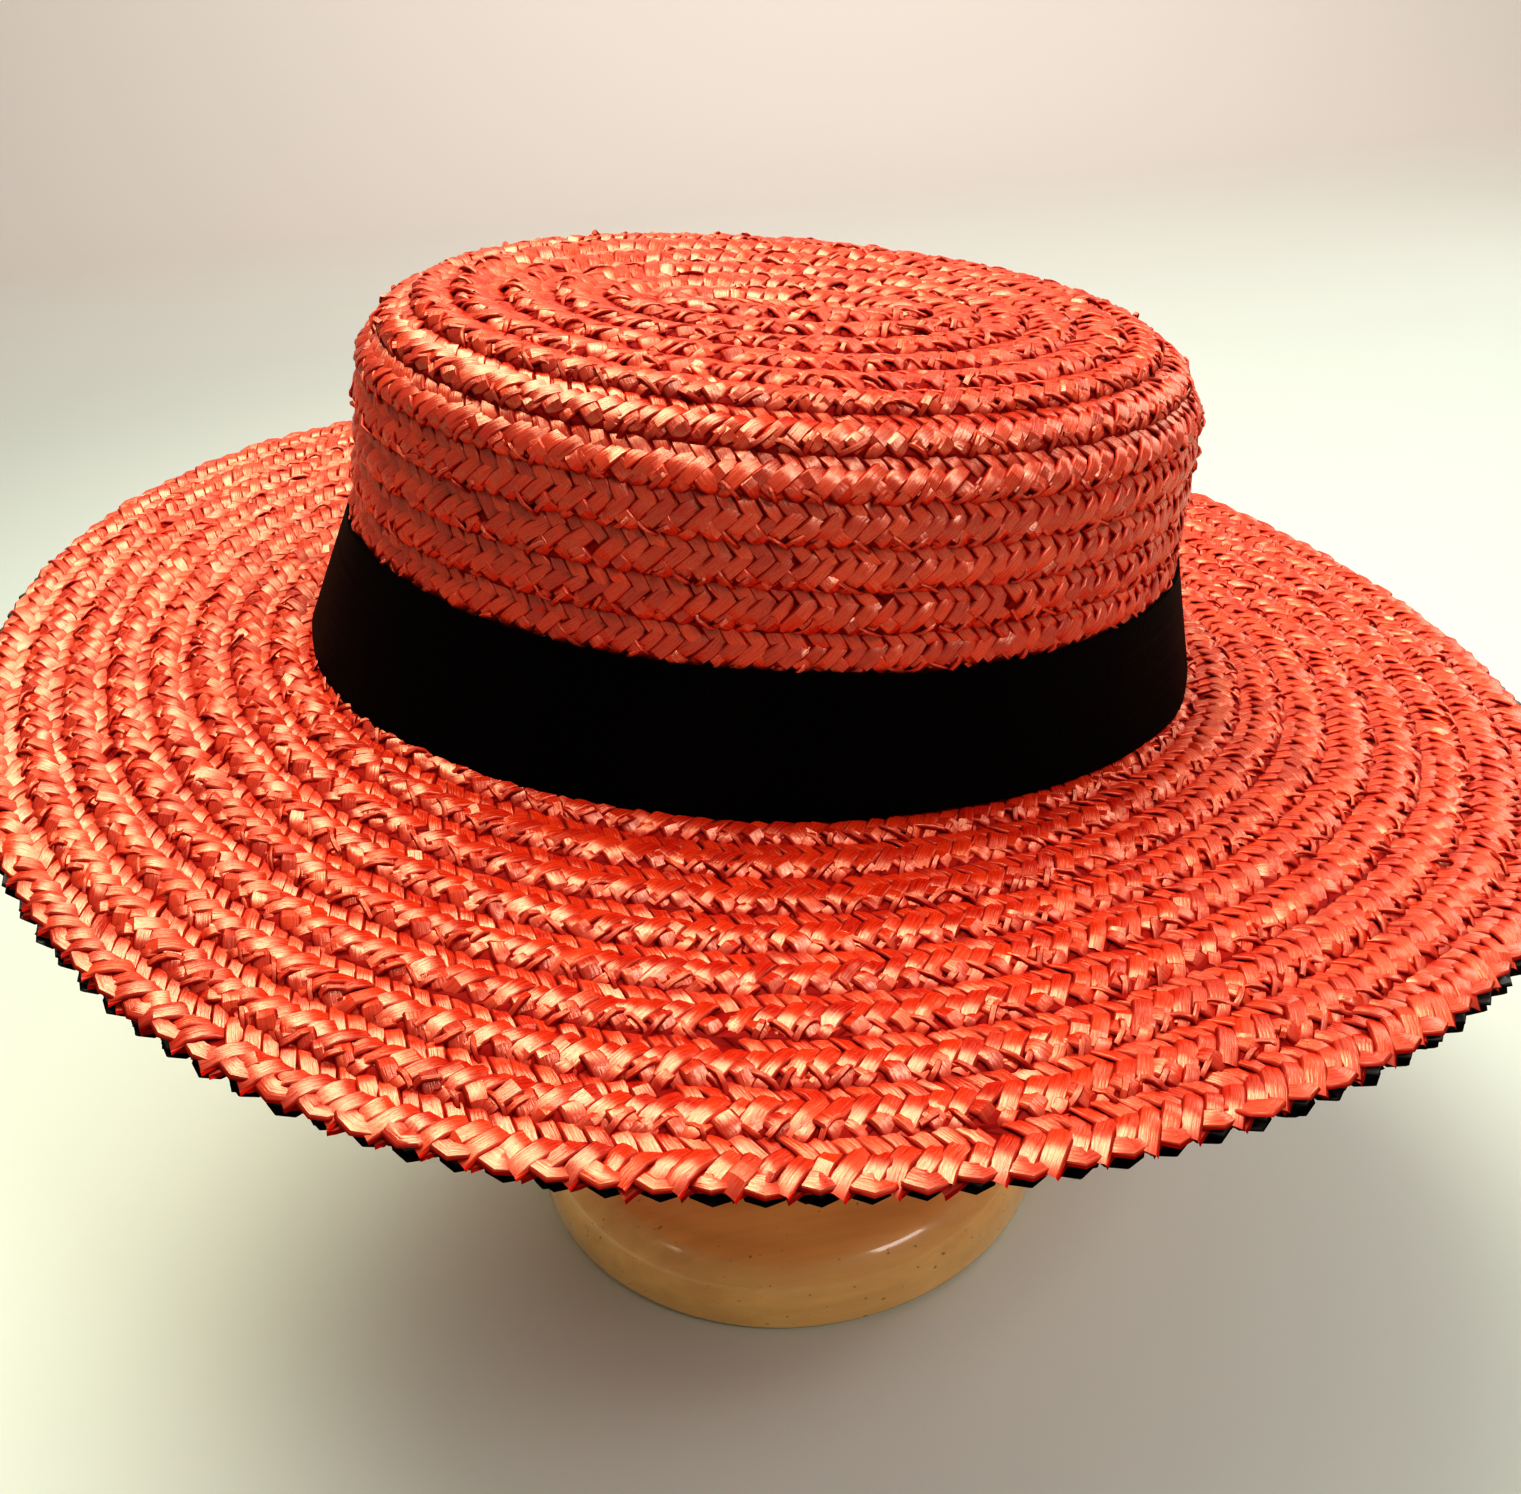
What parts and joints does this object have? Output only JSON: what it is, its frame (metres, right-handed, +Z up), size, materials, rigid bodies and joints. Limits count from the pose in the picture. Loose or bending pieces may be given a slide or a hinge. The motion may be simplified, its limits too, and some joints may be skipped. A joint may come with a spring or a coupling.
{
  "type": "straw boater hat on a turned wooden hat stand",
  "caption": "Sewn straw-braid boater with an oval flat-topped crown, a flaring dark ribbon band and a wide gently warped brim, tilted on a round-footed wooden stand.",
  "frame": {"origin": "centre of the stand foot's flat underside, on the surface it stands on", "axes": "+Z up along the stand's axis, +X along the crown's long axis towards the hat's lower side, -Y towards the front of the hat"},
  "size_m": [0.3699, 0.3541, 0.2727],
  "materials": {
    "red_straw": "glossy dyed straw",
    "black_straw": "glossy dyed straw",
    "black_ribbon": "ribbed and matte",
    "varnished_wood": "satin varnish"
  },
  "bodies": {
    "root": {"crown": "red_straw", "brim": "red_straw", "edge_braid": "black_straw", "ribbon_band": "black_ribbon", "stand_foot": "varnished_wood", "stand_post": "varnished_wood"}
  },
  "joints": []
}
